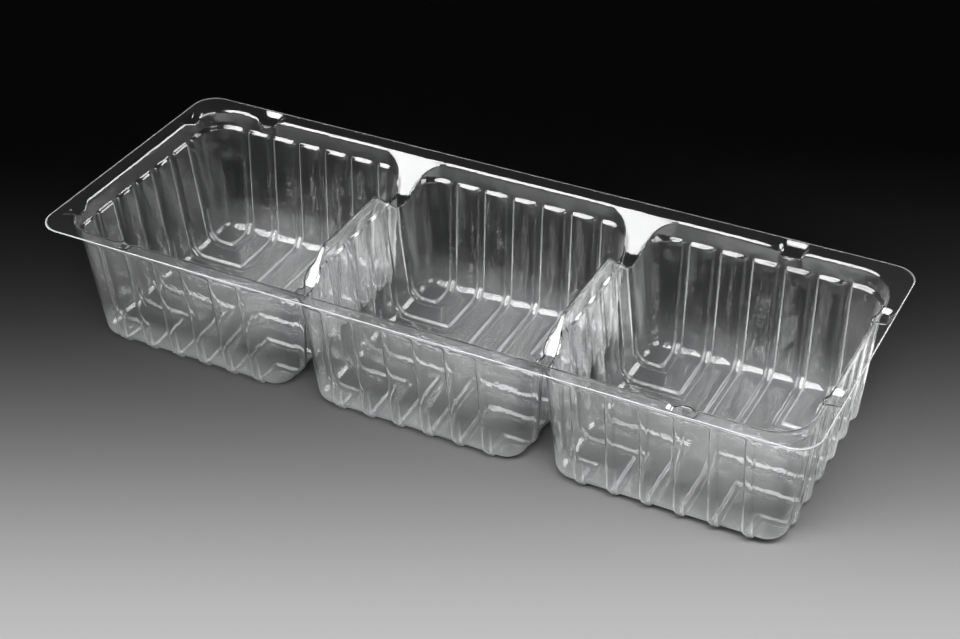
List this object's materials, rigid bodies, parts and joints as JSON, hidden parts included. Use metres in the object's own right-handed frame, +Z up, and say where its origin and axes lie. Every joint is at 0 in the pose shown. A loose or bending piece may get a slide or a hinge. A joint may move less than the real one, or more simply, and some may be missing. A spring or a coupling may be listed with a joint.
{
  "type": "blister tray",
  "caption": "Clear thermoformed tray with a row of ribbed compartments, a flat rim, dipped dividers and small stacking lugs.",
  "frame": {"origin": "middle of the tray's footprint, on the surface that it stands on", "axes": "+X along the row of compartments, +Y from the front long side to the back one, +Z up"},
  "size_m": [0.24, 0.088, 0.044],
  "materials": {
    "clear_sheet": "clear, glossy thermoformed sheet"
  },
  "bodies": {
    "root": {"tray": "clear_sheet"}
  },
  "joints": []
}
